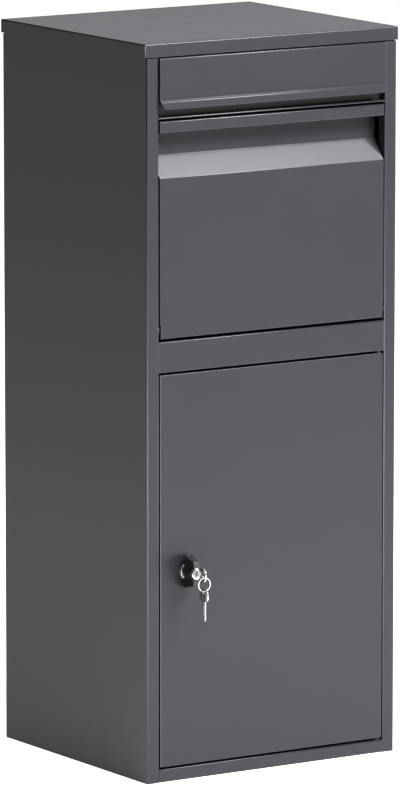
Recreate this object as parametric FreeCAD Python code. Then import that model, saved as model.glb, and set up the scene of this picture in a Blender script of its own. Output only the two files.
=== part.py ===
import FreeCAD, Part
import math
import os
from FreeCAD import Vector

# Parcel and letter drop cabinet in folded sheet steel, millimetres.
# Frame: origin on the floor at the middle of the body's footprint, +Z up,
# the door side faces -Y and +X is to the right when the door is faced.

# ---- driving dimensions -------------------------------------------------
BODY_WIDTH = 400.0
BODY_DEPTH = 366.0
BODY_HEIGHT = 1000.0
SHEET = 1.2                  # thickness of the cabinet's sheet
DOOR_SHEET = 1.5             # thickness of the door's sheet
BEND_INNER = 0.8             # inner radius of a sharp bend
WELD_LAP = 15.0              # width of a flange that is spot welded to its neighbour

STILE_WIDTH = 18.5           # front flange of each side panel
RETURN_DEPTH = 16.8          # depth of the stile's return into the cabinet
STILE_LIP = 11.5             # last fold of the stile, back towards the side wall
REAR_FLANGE = 20.0           # rear flange of each side panel
FRONT_GAP = 1.8              # gap between the stile and the door or hopper

CAP_SIDE_OVERHANG = 3.2      # the cap stands out this far past each side wall
CAP_FRONT_OVERHANG = 0.4     # and this far past the front and the rear
CAP_SKIRT = 18.2             # height of the cap's skirt
CAP_ROUND = 2.0              # rounding of the cap's edges
CAP_GAP = 1.6                # gap under the skirt, above the stiles and the flap

FLAP_PROUD = 3.0             # the flap's face stands out from the stiles
FLAP_GAP = 0.5               # gap between the flap's end and the stile
FLAP_FACE_HEIGHT = 56.7      # from the flap's top down to the joggle of the grip lip
FLAP_LIP_OUT = 4.0           # how far the joggle brings the lip forward
FLAP_LIP_DROP = 1.5          # how far the joggle comes down
FLAP_LIP_HEIGHT = 11.5       # joggle and lip together
FLAP_LIP_CHAMFER = 5.1       # width cut off each end of the lip
FLAP_LIP_CHAMFER_HEIGHT = 8.5
FLAP_LIP_ROUND = 3.0         # rounding of the lip's cut ends
FLAP_ROD_RADIUS = 1.5
EAR_WALL = 1.5               # metal round the rod in each hinge ear
EAR_TOP_GAP = 0.3            # from the ears up to the flap's top fold
EAR_FRONT_GAP = 1.3          # from the ears forward to the flap's face sheet
EAR_THICKNESS = 2.0
OUTER_EAR_INSET = 31.5       # from the stile to the outer ears of the header
PAD_THICKNESS = 2.0
PAD_RADIUS = 4.0
PAD_INSET = 3.6              # from the flap's end to the pad's middle
PAD_HEIGHT = 7.0             # from the header's lower edge to the pad's middle

SLOT_HEIGHT = 29.0           # clear height of the letter slot
SLOT_RECESS = 10.0           # the slot's frame lies this far behind the front
HEADER_TOP_GAP = 4.2         # from the stiles' top down to the header
HEADER_HEIGHT = 21.0
SILL_HEIGHT = 25.0           # from the slot down to the ledge below it
SILL_HEM = 2.2               # height of the ledge's front hem
CHUTE_SLOPE = 25.0           # degrees
LIP_CLEARANCE = 4.0          # the chute's corners are cut this far behind the lips
CORNER_CUT_INSET = 6.0       # and this far inside the stiles
CORNER_CUT_DROP = 40.0

HOPPER_TOP_GAP = 3.2
HOPPER_HEIGHT = 292.5
HOPPER_BOTTOM_GAP = 3.4
GRIP_RAIL_HEIGHT = 16.2      # face above the grip recess
GRIP_DEPTH = 22.4            # depth of the grip recess
GRIP_BACK_HEIGHT = 31.4      # height of the recess's back wall
GRIP_SLOPE_HEIGHT = 28.8     # rise of the sloped face below it
HOPPER_FLANGE_SHORT = 5.8    # its flanges end this far before the stile's return
HOPPER_SIDE_FLANGE = 12.0
HOPPER_PIVOT_UP = 12.9       # from the hopper's lower edge up to the pivot
HOPPER_FLOOR_LEAD = 1.2      # the floor runs level this far past the lower flange
HOPPER_FLOOR_LENGTH = 190.0
HOPPER_FLOOR_SLOPE = 30.0    # degrees below the horizontal when the hopper is shut
HOPPER_FLOOR_HEM = 8.0
CHEEK_TOP_GAP = 19.6         # the cheeks end this far below the hopper's top
CHEEK_END_ANGLE = 78.0       # degrees from the vertical to the cheeks' rear corner
CHEEK_FIT_GAP = 0.15         # between the cheeks and the folded front
HOPPER_OPEN_ANGLE = 48.0     # degrees
HOPPER_PIN_RADIUS = 3.0
HOPPER_PIN_HEAD = 2.0        # the head stands out this far round the pin
HOPPER_PIN_GAP = 0.8         # between the pin's head and the front sheet
BUSH_WALL = 1.0
BUSH_FLANGE = 1.5            # the flange stands out this far round the barrel
BUSH_FLANGE_GAP = 0.4        # between the bush's flange and the cheek
BUSH_END = 0.6               # the barrel comes through the stile's return this far
NOTCH_CLEARANCE = 0.2        # round the bush, in the notch at the hopper's corners
NOTCH_HEADROOM = 1.55
STOP_INSET = 30.0            # the stop buffers sit this far inside the cheeks' edge
STOP_BUFFER_RADIUS = 4.0
STOP_PIN_RADIUS = 2.5
STOP_PIN_HEAD = 1.5
STOP_END_GAP = 0.5           # the buffers end this far short of the lip's edge
BRACKET_GAP = 2.5            # between the rest brackets and the cheeks
BAFFLE_RISE = 144.0          # from the hopper's pivot up to the baffle's fold
BAFFLE_FLANGE = 30.0
BAFFLE_SLOPE = 30.0          # degrees
SWEEP_GAP = 1.0              # from the hopper's rear to the baffle and the chute

MID_RAIL_HEIGHT = 42.2
DOOR_END_GAP = 2.6           # above and below the door
DOOR_EDGE_ROUND = 1.2
DOOR_CORNER_ROUND = 2.0
DOOR_RETURN_GAP = 0.8        # the door's returns end this far before the stile's
DOOR_PIN_RADIUS = 2.5
DOOR_PIN_REACH = 7.0         # length of pin past the door's edge
PIN_COLLAR = 1.1             # the collar stands out this far round the pin
PIN_COLLAR_GAP = 0.1         # between the collar and the door's sheet
WASHER_RIM = 2.0
PLINTH_HEIGHT = 18.0         # front rail of the floor pan
STIFFENER_HALF = 20.0
STIFFENER_DEPTH = 10.0
STIFFENER_TAPER = 4.0
STIFFENER_END_GAP = 30.0

ANCHOR_EDGE_X = 60.0         # from the side wall to the anchor holes
ANCHOR_EDGE_Y = 63.0         # from the front and the rear to the anchor holes
ANCHOR_RADIUS = 5.0
WALL_EDGE_X = 80.0           # from the side wall to the holes for wall screws
WALL_SPACING_SHARE = 0.6     # spacing of the wall holes, as a share of the height
WALL_MIDDLE_SHARE = 0.54     # height of the wall pattern's middle, likewise
WALL_HOLE_RADIUS = 4.0

LOCK_INSET = 40.4            # from the door's left edge to the lock's axis
LOCK_BELOW_MIDDLE = 1.5      # the lock sits this far below the door's middle
ROSETTE_RIM = 1.5            # the rosette stands out this far round the sleeve
ROSETTE_THICKNESS = 4.6
ROSETTE_ROUND = 0.8
SPINDLE_RADIUS = 6.0
SLEEVE_WALL = 3.0
SLEEVE_SHORT = 2.3           # the sleeve ends this far before the stile's return
LOCK_NUT_WALL = 3.0          # from the sleeve to the nut's flats
LOCK_NUT_THICKNESS = 5.0
KNOB_WIDTH = 10.4
KNOB_HEIGHT_BASE = 44.0
KNOB_HEIGHT_FRONT = 32.0
KNOB_DEPTH = 22.6
KNOB_ROUND = 1.0
KNOB_HUB_WALL = 1.6
PLUG_RADIUS = 7.8
PLUG_PROUD = 0.9             # the plug stands out of the knob
PLUG_ROUND = 0.8
PLUG_REAR_GAP = 0.7          # from the plug's rear to the knob's rear face
PLUG_SEAT_GAP = 0.2          # behind the plug, in the knob's bore
KEYWAY_ROOM = 8.0            # hollow of the spindle behind the plug
KEYWAY_CLEARANCE = 0.5       # the keyway is wider than the key by this much
KEYWAY_HEADROOM = 2.0        # and taller by this much
CAM_GAP = 0.8                # from the stile's return back to the cam
CAM_THICKNESS = 2.0
CAM_WIDTH = 16.0
CAM_BITE = 9.8               # the cam reaches this far behind the stile
CAM_SCREW_RADIUS = 2.5
CAM_SCREW_HEAD = 2.0         # the head stands out this far round the shank
CAM_SCREW_HEAD_HEIGHT = 2.5
CAM_SCREW_SLOT = 1.0         # width and depth of the screw's slot

KEY_THICKNESS = 1.9
KEY_BLADE_HEIGHT = 6.0
KEY_BLADE_LENGTH = 24.0
KEY_BLADE_TIP = 2.0
KEY_SHOULDER = 3.0           # plain length of the blade at the bow
KEY_STEPS = (                # where each cut of the blade turns, and how deep
    (18.0, 0.8),
    (15.5, 2.2),
    (13.0, 0.6),
    (10.5, 1.8),
    (8.0, 0.0),
)
KEY_BOW_HEIGHT = 20.0
KEY_BOW_LENGTH = 18.5
KEY_BOW_ROUND = 1.5
KEY_BOW_SHAPE = (            # lower half of the bow, as shares of its length and height
    (0.0, 0.20),
    (0.22, 0.5),
    (0.72, 0.5),
    (1.0, 0.22),
)
KEY_BOW_GAP = 4.0            # from the plug's face to the bow
KEY_HOLE_RADIUS = 2.6
KEY_HOLE_INSET = 5.0         # from the bow's end to the hole's middle
KEY_HOLE_DROP = 2.2          # the fitted key's hole lies this far below the lock's axis
RING_RADIUS = 9.25
RING_WIRE_RADIUS = 0.75
SPARE_KEY_PLAY = 0.35        # between the ring's wire and the spare key's hole

RUNNING_CLEARANCE = 0.05
TOUCH_CLEARANCE = 0.2
CUT_PAST = 1.0               # cutters run this far past the metal
TINY = 1e-3                  # slack when positions are compared

# ---- derived places -----------------------------------------------------
HALF_WIDTH = BODY_WIDTH / 2
FRONT = -BODY_DEPTH / 2
REAR = BODY_DEPTH / 2
STILE_INNER = HALF_WIDTH - STILE_WIDTH
RETURN_REAR = FRONT + RETURN_DEPTH
WALL_INNER = HALF_WIDTH - SHEET
CAP_UNDERSIDE = BODY_HEIGHT - SHEET
SKIRT_BOTTOM = BODY_HEIGHT - CAP_SKIRT
STILE_TOP = SKIRT_BOTTOM - CAP_GAP
BACK_INNER = REAR - 2 * SHEET
RAIL_HALF = STILE_INNER
LEAF_HALF = STILE_INNER - FRONT_GAP

HEADER_TOP = STILE_TOP - HEADER_TOP_GAP
HEADER_BOTTOM = HEADER_TOP - HEADER_HEIGHT
SILL_TOP = HEADER_BOTTOM - SLOT_HEIGHT
SILL_LEDGE = SILL_TOP - SILL_HEIGHT
HOPPER_TOP = SILL_LEDGE - SILL_HEM - HOPPER_TOP_GAP
HOPPER_BOTTOM = HOPPER_TOP - HOPPER_HEIGHT
MID_RAIL_TOP = HOPPER_BOTTOM - HOPPER_BOTTOM_GAP
MID_RAIL_BOTTOM = MID_RAIL_TOP - MID_RAIL_HEIGHT
DOOR_TOP = MID_RAIL_BOTTOM - DOOR_END_GAP
DOOR_BOTTOM = PLINTH_HEIGHT + DOOR_END_GAP

EAR_RADIUS = FLAP_ROD_RADIUS + EAR_WALL
FLAP_HALF = STILE_INNER - FLAP_GAP
FLAP_FACE = FRONT - FLAP_PROUD
FLAP_FACE_BOTTOM = STILE_TOP - FLAP_FACE_HEIGHT
FLAP_LIP_BOTTOM = FLAP_FACE_BOTTOM - FLAP_LIP_HEIGHT
FLAP_PIVOT = (
    FLAP_FACE + SHEET + EAR_RADIUS + EAR_FRONT_GAP,
    STILE_TOP - SHEET - EAR_RADIUS - EAR_TOP_GAP,
)
SLOT_FACE = FRONT + SLOT_RECESS

GRIP_TOP = HOPPER_TOP - GRIP_RAIL_HEIGHT
GRIP_BACK = FRONT + GRIP_DEPTH
SLOPE_TOP = GRIP_TOP - GRIP_BACK_HEIGHT
SLOPE_BOTTOM = SLOPE_TOP - GRIP_SLOPE_HEIGHT
HOPPER_FLANGE = RETURN_DEPTH - HOPPER_FLANGE_SHORT
HOPPER_PIVOT = (
    FRONT + SHEET + HOPPER_PIN_GAP + HOPPER_PIN_RADIUS + HOPPER_PIN_HEAD,
    HOPPER_BOTTOM + HOPPER_PIVOT_UP,
)
BUSH_BORE = HOPPER_PIN_RADIUS + RUNNING_CLEARANCE
BUSH_OUTER = BUSH_BORE + BUSH_WALL
NOTCH_WIDTH = SHEET - BUSH_FLANGE_GAP + NOTCH_CLEARANCE
NOTCH_HEIGHT = HOPPER_PIVOT_UP + BUSH_OUTER + BUSH_FLANGE + NOTCH_HEADROOM
CHEEK_OUTER = LEAF_HALF - SHEET
CHEEK_INNER = CHEEK_OUTER - SHEET
CHEEK_RADIUS = HOPPER_HEIGHT - HOPPER_PIVOT_UP - CHEEK_TOP_GAP
HOPPER_REAR = HOPPER_PIVOT[0] + CHEEK_RADIUS
STOP_RADIUS = CHEEK_RADIUS - STOP_INSET
STOP_OPEN_BACK = RETURN_REAR + STOP_BUFFER_RADIUS + TOUCH_CLEARANCE - HOPPER_PIVOT[0]
STOP_ANGLE = math.asin(STOP_OPEN_BACK / STOP_RADIUS) + math.radians(HOPPER_OPEN_ANGLE)
STOP_SHUT = (
    HOPPER_PIVOT[0] + STOP_RADIUS * math.sin(STOP_ANGLE),
    HOPPER_PIVOT[1] + STOP_RADIUS * math.cos(STOP_ANGLE),
)
STOP_PIN_END = STILE_INNER + STILE_LIP - STOP_END_GAP

DOOR_DEPTH = RETURN_DEPTH - DOOR_RETURN_GAP
DOOR_INNER_FACE = FRONT + DOOR_SHEET
COLLAR_RADIUS = DOOR_PIN_RADIUS + PIN_COLLAR
DOOR_HINGE = (
    LEAF_HALF - DOOR_SHEET - COLLAR_RADIUS - PIN_COLLAR_GAP,
    DOOR_INNER_FACE + COLLAR_RADIUS + PIN_COLLAR_GAP,
)

SLEEVE_RADIUS = SPINDLE_RADIUS + SLEEVE_WALL
SLEEVE_END = RETURN_REAR - SLEEVE_SHORT
ROSETTE_RADIUS = SLEEVE_RADIUS + ROSETTE_RIM
ROSETTE_FACE = FRONT - ROSETTE_THICKNESS
LOCK_X = -LEAF_HALF + LOCK_INSET
LOCK_Z = (DOOR_TOP + DOOR_BOTTOM) / 2 - LOCK_BELOW_MIDDLE
KNOB_BACK = ROSETTE_FACE - TOUCH_CLEARANCE
KNOB_FRONT = KNOB_BACK - KNOB_DEPTH
PLUG_FACE = KNOB_FRONT - PLUG_PROUD
PLUG_REAR = KNOB_BACK - PLUG_REAR_GAP
KEYWAY_WIDTH = KEY_THICKNESS + KEYWAY_CLEARANCE
KEYWAY_HEIGHT = KEY_BLADE_HEIGHT + KEYWAY_HEADROOM
CAM_FRONT = RETURN_REAR + CAM_GAP
CAM_REAR = CAM_FRONT + CAM_THICKNESS
CAM_LENGTH = LOCK_INSET + FRONT_GAP + CAM_BITE
BOW_REAR = PLUG_FACE - KEY_BOW_GAP
KEY_HOLE_BACK = KEY_BOW_LENGTH - KEY_HOLE_INSET
KEY_HOLE_Y = BOW_REAR - KEY_HOLE_BACK
KEY_HOLE_Z = LOCK_Z - KEY_HOLE_DROP
RING_CENTRE_Z = KEY_HOLE_Z - RING_RADIUS
SPARE_HOLE_Z = RING_CENTRE_Z - RING_RADIUS - (KEY_HOLE_RADIUS - RING_WIRE_RADIUS - SPARE_KEY_PLAY)


# ---- helpers ------------------------------------------------------------
def between(one, other):
    """Two values as a range, the smaller first."""
    return min(one, other), max(one, other)


def box(x_range, y_range, z_range):
    """A block between two corners."""
    x0, x1 = x_range
    y0, y1 = y_range
    z0, z1 = z_range
    return Part.makeBox(x1 - x0, y1 - y0, z1 - z0, Vector(x0, y0, z0))


def rod_x(radius, x0, x1, y, z):
    """A round bar along X."""
    return Part.makeCylinder(radius, x1 - x0, Vector(x0, y, z), Vector(1, 0, 0))


def rod_y(radius, y0, y1, x, z):
    """A round bar along Y."""
    return Part.makeCylinder(radius, y1 - y0, Vector(x, y0, z), Vector(0, 1, 0))


def rod_z(radius, z0, z1, x, y):
    """A round bar along Z."""
    return Part.makeCylinder(radius, z1 - z0, Vector(x, y, z0), Vector(0, 0, 1))


def mirrored(shape):
    """The same piece on the other side of the cabinet."""
    return shape.mirror(Vector(0, 0, 0), Vector(1, 0, 0))


def both_sides(shape):
    """A piece and its mirror image, as two separate solids."""
    return Part.makeCompound([shape, mirrored(shape)])


def fused(shapes):
    """One solid out of pieces that touch."""
    result = shapes[0].fuse(shapes[1:])
    return result.removeSplitter()


def rounded(shape, radius, picks):
    """Round the edges that `picks` accepts."""
    edges = [edge for edge in shape.Edges if picks(edge)]
    return shape.makeFillet(radius, edges)


def runs_along(edge, axis):
    """Is the edge straight and parallel to the axis?"""
    first, last = edge.Vertexes[0].Point, edge.Vertexes[-1].Point
    span = last.sub(first)
    return span.Length > TINY and span.cross(axis).Length < TINY * span.Length


def bend_points(points, side, inner_radius):
    """Both faces of a folded strip, as lists of straight ends and bend middles.

    `points` follow one face of the strip; the sheet lies on its left when
    side is 1 and on its right when side is -1.
    """
    path = [Vector(u, v, 0) for u, v in points]
    headings = [(b.sub(a)).normalize() for a, b in zip(path, path[1:])]
    normals = [Vector(-h.y * side, h.x * side, 0) for h in headings]
    near = [path[0]]
    far = [path[0].add(normals[0] * SHEET)]
    for index in range(1, len(path) - 1):
        before, after = headings[index - 1], headings[index]
        turn = before.x * after.y - before.y * after.x
        angle = before.getAngle(after)
        towards_sheet = turn * side > 0
        near_radius = inner_radius + SHEET if towards_sheet else inner_radius
        far_radius = inner_radius if towards_sheet else inner_radius + SHEET
        setback = near_radius * math.tan(angle / 2)
        start = path[index].sub(before * setback)
        end = path[index].add(after * setback)
        centre_side = 1 if towards_sheet else -1
        centre = start.add(normals[index - 1] * (near_radius * centre_side))
        outward = path[index].sub(centre).normalize()
        near += [start, centre.add(outward * near_radius), end]
        far += [
            start.add(normals[index - 1] * SHEET),
            centre.add(outward * far_radius),
            end.add(normals[index] * SHEET),
        ]
    near.append(path[-1])
    far.append(path[-1].add(normals[-1] * SHEET))
    return near, far


def face_edges(line, place):
    """Straight runs and bend arcs along one face of a folded strip."""
    spots = [place(point) for point in line]
    edges = [Part.LineSegment(spots[0], spots[1]).toShape()]
    index = 1
    while index + 2 < len(spots):
        arc = Part.Arc(spots[index], spots[index + 1], spots[index + 2])
        edges.append(arc.toShape())
        edges.append(Part.LineSegment(spots[index + 2], spots[index + 3]).toShape())
        index += 3
    return edges


def folded(points, place, run, side=1, inner_radius=BEND_INNER):
    """A strip of sheet folded along `points` and run straight along `run`."""
    near, far = bend_points(points, side, inner_radius)
    edges = face_edges(near, place)
    edges += face_edges(far, place)
    edges.append(Part.LineSegment(place(near[0]), place(far[0])).toShape())
    edges.append(Part.LineSegment(place(near[-1]), place(far[-1])).toShape())
    wire = Part.Wire(Part.__sortEdges__(edges))
    return Part.Face(wire).extrude(run)


def folded_upright(points, z0, z1, side=1, inner_radius=BEND_INNER):
    """A strip whose fold lines stand upright; points are (x, y)."""
    def place(point):
        return Vector(point.x, point.y, z0)
    return folded(points, place, Vector(0, 0, z1 - z0), side, inner_radius)


def folded_across(points, x0, x1, side=1, inner_radius=BEND_INNER):
    """A strip whose fold lines run across the cabinet; points are (y, z)."""
    def place(point):
        return Vector(x0, point.x, point.y)
    return folded(points, place, Vector(x1 - x0, 0, 0), side, inner_radius)


def plate_yz(points, x0, x1):
    """A flat plate that stands fore and aft, cut to the outline in (y, z)."""
    spots = [Vector(x0, y, z) for y, z in points]
    wire = Part.makePolygon(spots + [spots[0]])
    return Part.Face(wire).extrude(Vector(x1 - x0, 0, 0))


def plate_xz(points, y0, y1):
    """A flat plate parallel to the door, cut to the outline in (x, z)."""
    spots = [Vector(x, y0, z) for x, z in points]
    wire = Part.makePolygon(spots + [spots[0]])
    return Part.Face(wire).extrude(Vector(0, y1 - y0, 0))


def rectangle_of_holes(spacing_u, spacing_v):
    """The four corners of a hole pattern about its middle."""
    return [
        (u * spacing_u / 2, v * spacing_v / 2)
        for u in (-1, 1)
        for v in (-1, 1)
    ]


# ---- cabinet ------------------------------------------------------------
def side_panel():
    """Left side wall with its front stile, return, lip and rear flange."""
    outline = [
        (-STILE_INNER - STILE_LIP, RETURN_REAR),
        (-STILE_INNER, RETURN_REAR),
        (-STILE_INNER, FRONT),
        (-HALF_WIDTH, FRONT),
        (-HALF_WIDTH, REAR),
        (-HALF_WIDTH + REAR_FLANGE, REAR),
    ]
    body = folded_upright(outline, 0, STILE_TOP, side=-1)
    wall_front = FRONT + 2 * (BEND_INNER + SHEET)
    wall_rear = REAR - 2 * (BEND_INNER + SHEET)
    tongue_outline = [
        (-HALF_WIDTH, STILE_TOP),
        (-HALF_WIDTH, CAP_UNDERSIDE),
        (-HALF_WIDTH + WELD_LAP, CAP_UNDERSIDE),
    ]

    def place(point):
        return Vector(point.x, wall_front, point.y)

    tongue = folded(tongue_outline, place, Vector(0, wall_rear - wall_front, 0), side=-1)
    bush_hole = rod_x(
        BUSH_OUTER,
        -STILE_INNER - 2 * SHEET,
        -STILE_INNER + SHEET,
        *HOPPER_PIVOT,
    )
    return fused([body, tongue]).cut(bush_hole)


def back_panel():
    """Back sheet inside the rear flanges, with four holes for wall screws."""
    panel = box(
        (-WALL_INNER + BEND_INNER, WALL_INNER - BEND_INNER),
        (BACK_INNER, BACK_INNER + SHEET),
        (SHEET, CAP_UNDERSIDE - SHEET),
    )
    middle = BODY_HEIGHT * WALL_MIDDLE_SHARE
    pattern = rectangle_of_holes(BODY_WIDTH - 2 * WALL_EDGE_X, BODY_HEIGHT * WALL_SPACING_SHARE)
    for x, dz in pattern:
        hole = rod_y(WALL_HOLE_RADIUS, BACK_INNER - CUT_PAST, REAR, x, middle + dz)
        panel = panel.cut(hole)
    return panel


def floor_pan():
    """Floor with the plinth rail, folded sides and four anchor holes."""
    outline = [
        (RETURN_REAR, PLINTH_HEIGHT),
        (FRONT, PLINTH_HEIGHT),
        (FRONT, 0),
        (BACK_INNER, 0),
        (BACK_INNER, WELD_LAP),
    ]
    pan = folded_across(outline, -WALL_INNER, WALL_INNER)
    sides = [
        box(
            (x, x + SHEET),
            (RETURN_REAR + SHEET, BACK_INNER - 2 * SHEET),
            (SHEET / 2, WELD_LAP),
        )
        for x in (-WALL_INNER, WALL_INNER - SHEET)
    ]
    pan = fused([pan] + sides)
    for sign in (-1, 1):
        corner = box(
            between(sign * RAIL_HALF, sign * (HALF_WIDTH + CUT_PAST)),
            (FRONT - CUT_PAST, RETURN_REAR),
            (-CUT_PAST, PLINTH_HEIGHT + CUT_PAST),
        )
        pan = pan.cut(corner)
    anchors = rectangle_of_holes(BODY_WIDTH - 2 * ANCHOR_EDGE_X, BODY_DEPTH - 2 * ANCHOR_EDGE_Y)
    for x, y in anchors:
        pan = pan.cut(rod_z(ANCHOR_RADIUS, -CUT_PAST, SHEET + CUT_PAST, x, y))
    pin_hole = rod_z(
        DOOR_PIN_RADIUS + RUNNING_CLEARANCE,
        PLINTH_HEIGHT - 2 * SHEET,
        PLINTH_HEIGHT + CUT_PAST,
        *DOOR_HINGE,
    )
    return pan.cut(pin_hole)


def roof_cap():
    """Pressed lid whose skirt hangs over the side walls."""
    half_x = HALF_WIDTH + CAP_SIDE_OVERHANG
    half_y = REAR + CAP_FRONT_OVERHANG
    outside = box((-half_x, half_x), (-half_y, half_y), (SKIRT_BOTTOM, BODY_HEIGHT))

    def picks(edge):
        upright = runs_along(edge, Vector(0, 0, 1))
        return upright or edge.CenterOfMass.z > BODY_HEIGHT - TINY

    outside = rounded(outside, CAP_ROUND, picks)
    inside = box(
        (-half_x + SHEET, half_x - SHEET),
        (-half_y + SHEET, half_y - SHEET),
        (SKIRT_BOTTOM - CUT_PAST, CAP_UNDERSIDE),
    )
    inside = rounded(inside, BEND_INNER, lambda e: runs_along(e, Vector(0, 0, 1)))
    return outside.cut(inside)


def mid_rail():
    """Channel between the hopper and the door."""
    outline = [
        (RETURN_REAR, MID_RAIL_TOP),
        (FRONT, MID_RAIL_TOP),
        (FRONT, MID_RAIL_BOTTOM),
        (RETURN_REAR, MID_RAIL_BOTTOM),
    ]
    rail = folded_across(outline, -RAIL_HALF, RAIL_HALF)
    pin_hole = rod_z(
        DOOR_PIN_RADIUS + RUNNING_CLEARANCE,
        MID_RAIL_BOTTOM - CUT_PAST,
        MID_RAIL_BOTTOM + 2 * SHEET,
        *DOOR_HINGE,
    )
    return rail.cut(pin_hole)


# ---- letter slot --------------------------------------------------------
def slot_header():
    """Channel above the letter slot, with the ears that carry the flap's rod."""
    rear = SLOT_FACE + WELD_LAP
    outline = [
        (rear, HEADER_TOP),
        (SLOT_FACE, HEADER_TOP),
        (SLOT_FACE, HEADER_BOTTOM),
        (rear, HEADER_BOTTOM),
    ]
    pieces = [folded_across(outline, -RAIL_HALF, RAIL_HALF)]
    pivot_y, pivot_z = FLAP_PIVOT
    outer_ear = RAIL_HALF - OUTER_EAR_INSET
    for middle in (-outer_ear, 0.0, outer_ear):
        x_range = (middle - EAR_THICKNESS / 2, middle + EAR_THICKNESS / 2)
        eye = rod_x(EAR_RADIUS, *x_range, pivot_y, pivot_z)
        arm = box(
            x_range,
            (pivot_y - EAR_RADIUS, SLOT_FACE + SHEET / 2),
            (HEADER_BOTTOM + 2 * EAR_THICKNESS, pivot_z - EAR_THICKNESS / 4),
        )
        pieces += [eye, arm]
    header = fused(pieces)
    rod_hole = rod_x(
        FLAP_ROD_RADIUS + RUNNING_CLEARANCE,
        -RAIL_HALF,
        RAIL_HALF,
        pivot_y,
        pivot_z,
    )
    return header.cut(rod_hole)


def slot_sill():
    """Recessed rail below the slot; its ledge comes forward to the front."""
    outline = [
        (SLOT_FACE + WELD_LAP - SHEET, SILL_TOP),
        (SLOT_FACE, SILL_TOP),
        (SLOT_FACE, SILL_LEDGE),
        (FRONT, SILL_LEDGE),
        (FRONT, SILL_LEDGE - SILL_HEM),
    ]
    return folded_across(outline, -RAIL_HALF, RAIL_HALF)


def letter_flap():
    """Flap with a rounded top, a joggled grip lip and an ear at each end."""
    outline = [
        (FLAP_PIVOT[0], STILE_TOP),
        (FLAP_FACE, STILE_TOP),
        (FLAP_FACE, FLAP_FACE_BOTTOM),
        (FLAP_FACE - FLAP_LIP_OUT, FLAP_FACE_BOTTOM - FLAP_LIP_DROP),
        (FLAP_FACE - FLAP_LIP_OUT, FLAP_LIP_BOTTOM),
    ]
    flap = folded_across(outline, -FLAP_HALF, FLAP_HALF)
    for sign in (-1, 1):
        corner = plate_xz(
            [
                (sign * (FLAP_HALF + CUT_PAST), FLAP_LIP_BOTTOM + FLAP_LIP_CHAMFER_HEIGHT),
                (sign * FLAP_HALF, FLAP_LIP_BOTTOM + FLAP_LIP_CHAMFER_HEIGHT),
                (sign * (FLAP_HALF - FLAP_LIP_CHAMFER), FLAP_LIP_BOTTOM - TINY),
                (sign * (FLAP_HALF + CUT_PAST), FLAP_LIP_BOTTOM - TINY),
            ],
            FLAP_FACE - FLAP_LIP_OUT - CUT_PAST,
            FRONT,
        )
        flap = flap.cut(corner)

    def lip_corner(edge):
        low = edge.CenterOfMass.z < FLAP_LIP_BOTTOM + TINY
        return low and runs_along(edge, Vector(0, 1, 0))

    flap = rounded(flap, FLAP_LIP_ROUND, lip_corner)
    ears = []
    for x in (-FLAP_HALF, FLAP_HALF - SHEET):
        ears.append(box(
            (x, x + SHEET),
            (FLAP_FACE + SHEET / 2, SLOT_FACE - PAD_THICKNESS - TOUCH_CLEARANCE),
            (FLAP_FACE_BOTTOM + SHEET, STILE_TOP - SHEET / 2),
        ))
        ears.append(rod_x(EAR_RADIUS, x, x + SHEET, *FLAP_PIVOT))
    flap = fused([flap] + ears)
    return flap.cut(flap_rod())


def flap_rod():
    """Rod that the flap turns on, held in the flap's two ears."""
    return rod_x(FLAP_ROD_RADIUS, -FLAP_HALF, FLAP_HALF, *FLAP_PIVOT)


def flap_pads():
    """Rubber pads on the header that the flap's ears rest against."""
    x = FLAP_HALF - PAD_INSET
    z = HEADER_BOTTOM + PAD_HEIGHT
    pad = rod_y(PAD_RADIUS, SLOT_FACE - PAD_THICKNESS, SLOT_FACE, x, z)
    return both_sides(pad)


def letter_chute():
    """Sloped sheet that carries letters over the hopper to the back."""
    front = SLOT_FACE + WELD_LAP - SHEET
    rear = HOPPER_REAR + SWEEP_GAP
    under_sill = SILL_TOP - SHEET
    slope = math.tan(math.radians(CHUTE_SLOPE))
    drop = slope * (rear - front)
    outline = [
        (rear, under_sill - drop),
        (front, under_sill),
        (SLOT_FACE + 3 * SHEET, under_sill),
    ]
    chute = folded_across(outline, -WALL_INNER, WALL_INNER)
    for sign in (-1, 1):
        corner = box(
            between(sign * (RAIL_HALF - CORNER_CUT_INSET), sign * (WALL_INNER + CUT_PAST)),
            (FRONT, RETURN_REAR + LIP_CLEARANCE),
            (under_sill - CORNER_CUT_DROP, under_sill + CUT_PAST),
        )
        chute = chute.cut(corner)
    start = front + LIP_CLEARANCE
    start_height = under_sill - slope * (start - front)
    side_outline = [
        (start, start_height - SHEET / 2),
        (rear, under_sill - drop - SHEET / 2),
        (rear, under_sill - drop + WELD_LAP),
        (start, start_height + WELD_LAP),
    ]
    sides = [
        plate_yz(side_outline, x, x + SHEET)
        for x in (-WALL_INNER, WALL_INNER - SHEET)
    ]
    return fused([chute] + sides)


def theft_baffle():
    """Sheet on the back panel that keeps a hand from reaching down."""
    fold = HOPPER_PIVOT[1] + BAFFLE_RISE
    tip = HOPPER_REAR + SWEEP_GAP
    drop = (BACK_INNER - tip) * math.tan(math.radians(BAFFLE_SLOPE))
    outline = [
        (BACK_INNER, fold + BAFFLE_FLANGE),
        (BACK_INNER, fold),
        (tip, fold - drop),
    ]
    return folded_across(outline, -WALL_INNER, WALL_INNER, side=-1)


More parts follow.
